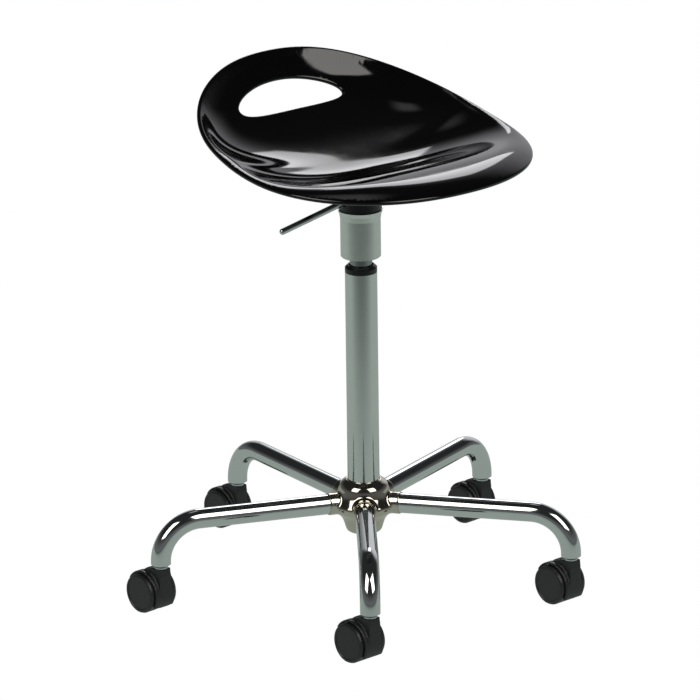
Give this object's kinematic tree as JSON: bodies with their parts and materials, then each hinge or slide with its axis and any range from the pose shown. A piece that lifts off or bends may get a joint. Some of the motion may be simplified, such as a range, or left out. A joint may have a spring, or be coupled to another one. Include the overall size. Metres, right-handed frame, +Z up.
{
  "type": "swivel stool",
  "caption": "Height-adjustable swivel stool: gloss shell seat with a rear hand hole, gas spring with lever, and a chromed five-leg base on twin-wheel casters.",
  "frame": {"origin": "on the floor, on the column's axis", "axes": "+Z up the column, seat front towards -Y, raised back and hand hole towards +Y, release lever towards -X"},
  "size_m": [0.5528, 0.5418, 0.6562],
  "materials": {
    "shell_plastic": "moulded ABS, high gloss",
    "chrome_tube": "bright chrome plate on steel tube",
    "chrome_cast": "bright chrome plate on a casting",
    "satin_aluminium": "satin cast aluminium",
    "steel": "ground steel",
    "zinc": "bright zinc plate",
    "black_nylon": "moulded black nylon, satin",
    "black_acetal": "moulded black acetal",
    "black_steel": "black powder coat",
    "brass": "turned brass",
    "black_rubber": "moulded rubber"
  },
  "bodies": {
    "base": {"hub": "chrome_cast", "column_tube": "chrome_tube", "guide_bush": "black_acetal", "thrust_washer_lower": "steel", "leg_1": "chrome_tube", "leg_2": "chrome_tube", "leg_3": "chrome_tube", "leg_4": "chrome_tube", "leg_5": "chrome_tube", "leg_plug_1": "steel", "leg_plug_2": "steel", "leg_plug_3": "steel", "leg_plug_4": "steel", "leg_plug_5": "steel", "caster_stem_1": "zinc", "caster_stem_2": "zinc", "caster_stem_3": "zinc", "caster_stem_4": "zinc", "caster_stem_5": "zinc"},
    "gas_piston": {"piston_rod": "steel", "piston": "steel", "thrust_bearing": "steel", "thrust_washer_upper": "steel", "bump_stop": "black_rubber", "rod_clip": "steel"},
    "seat": {"gas_cylinder": "steel", "cylinder_gland": "steel", "valve_plug": "steel", "collar": "satin_aluminium", "lever_housing": "black_steel", "lever_pivot_pin": "steel", "mounting_plate": "black_steel", "plate_screws": "black_steel", "seat_inserts": "brass", "seat_shell": "shell_plastic"},
    "lever": {"release_lever": "chrome_tube"},
    "valve_pin": {"release_pin": "steel"},
    "caster_1": {"caster_fork_1": "black_nylon", "caster_axle_1": "steel"},
    "wheel_left_1": {"caster_wheel_left_1": "black_nylon"},
    "wheel_right_1": {"caster_wheel_right_1": "black_nylon"},
    "caster_2": {"caster_fork_2": "black_nylon", "caster_axle_2": "steel"},
    "wheel_left_2": {"caster_wheel_left_2": "black_nylon"},
    "wheel_right_2": {"caster_wheel_right_2": "black_nylon"},
    "caster_3": {"caster_fork_3": "black_nylon", "caster_axle_3": "steel"},
    "wheel_left_3": {"caster_wheel_left_3": "black_nylon"},
    "wheel_right_3": {"caster_wheel_right_3": "black_nylon"},
    "caster_4": {"caster_fork_4": "black_nylon", "caster_axle_4": "steel"},
    "wheel_left_4": {"caster_wheel_left_4": "black_nylon"},
    "wheel_right_4": {"caster_wheel_right_4": "black_nylon"},
    "caster_5": {"caster_fork_5": "black_nylon", "caster_axle_5": "steel"},
    "wheel_left_5": {"caster_wheel_left_5": "black_nylon"},
    "wheel_right_5": {"caster_wheel_right_5": "black_nylon"}
  },
  "joints": [
    {"name": "seat_swivel", "type": "hinge", "parent": "base", "child": "gas_piston", "pos_m": [0, 0, 0.093], "axis": [0, 0, 1], "continuous": true},
    {"name": "seat_height", "type": "slide", "parent": "gas_piston", "child": "seat", "axis": [0, 0, 1], "range_m": [0, 0.19]},
    {"name": "lever_pull", "type": "hinge", "parent": "seat", "child": "lever", "pos_m": [-0.02, 0, 0.5085], "axis": [0, 1, 0], "range_deg": [0, 6], "stiffness_Nm_per_rad": 2, "springref_deg": -6.88},
    {"name": "pin_press", "type": "slide", "parent": "seat", "child": "valve_pin", "axis": [0, 0, -1], "range_m": [0, 0.0021], "stiffness_N_per_m": 600, "springref_m": -0.002},
    {"name": "caster_swivel_1", "type": "hinge", "parent": "base", "child": "caster_1", "pos_m": [0, 0.267, 0.06], "axis": [0, 0, 1], "continuous": true},
    {"name": "wheel_spin_left_1", "type": "hinge", "parent": "caster_1", "child": "wheel_left_1", "pos_m": [-0.00164, 0.28693, 0.025], "axis": [0.9966, 0.0819, 0], "continuous": true},
    {"name": "wheel_spin_right_1", "type": "hinge", "parent": "caster_1", "child": "wheel_right_1", "pos_m": [-0.00164, 0.28693, 0.025], "axis": [0.9966, 0.0819, 0], "continuous": true},
    {"name": "caster_swivel_2", "type": "hinge", "parent": "base", "child": "caster_2", "pos_m": [-0.25393, 0.08251, 0.06], "axis": [0, 0, 1], "continuous": true},
    {"name": "wheel_spin_left_2", "type": "hinge", "parent": "caster_2", "child": "wheel_left_2", "pos_m": [-0.25557, 0.10244, 0.025], "axis": [0.9966, 0.0819, 0], "continuous": true},
    {"name": "wheel_spin_right_2", "type": "hinge", "parent": "caster_2", "child": "wheel_right_2", "pos_m": [-0.25557, 0.10244, 0.025], "axis": [0.9966, 0.0819, 0], "continuous": true},
    {"name": "caster_swivel_3", "type": "hinge", "parent": "base", "child": "caster_3", "pos_m": [-0.15694, -0.21601, 0.06], "axis": [0, 0, 1], "continuous": true},
    {"name": "wheel_spin_left_3", "type": "hinge", "parent": "caster_3", "child": "wheel_left_3", "pos_m": [-0.15858, -0.19607, 0.025], "axis": [0.9966, 0.0819, 0], "continuous": true},
    {"name": "wheel_spin_right_3", "type": "hinge", "parent": "caster_3", "child": "wheel_right_3", "pos_m": [-0.15858, -0.19607, 0.025], "axis": [0.9966, 0.0819, 0], "continuous": true},
    {"name": "caster_swivel_4", "type": "hinge", "parent": "base", "child": "caster_4", "pos_m": [0.15694, -0.21601, 0.06], "axis": [0, 0, 1], "continuous": true},
    {"name": "wheel_spin_left_4", "type": "hinge", "parent": "caster_4", "child": "wheel_left_4", "pos_m": [0.1553, -0.19607, 0.025], "axis": [0.9966, 0.0819, 0], "continuous": true},
    {"name": "wheel_spin_right_4", "type": "hinge", "parent": "caster_4", "child": "wheel_right_4", "pos_m": [0.1553, -0.19607, 0.025], "axis": [0.9966, 0.0819, 0], "continuous": true},
    {"name": "caster_swivel_5", "type": "hinge", "parent": "base", "child": "caster_5", "pos_m": [0.25393, 0.08251, 0.06], "axis": [0, 0, 1], "continuous": true},
    {"name": "wheel_spin_left_5", "type": "hinge", "parent": "caster_5", "child": "wheel_left_5", "pos_m": [0.25229, 0.10244, 0.025], "axis": [0.9966, 0.0819, 0], "continuous": true},
    {"name": "wheel_spin_right_5", "type": "hinge", "parent": "caster_5", "child": "wheel_right_5", "pos_m": [0.25229, 0.10244, 0.025], "axis": [0.9966, 0.0819, 0], "continuous": true}
  ],
  "couplings": [
    {"joint": "pin_press", "follows": "lever_pull", "m_per_rad": 0.02}
  ]
}
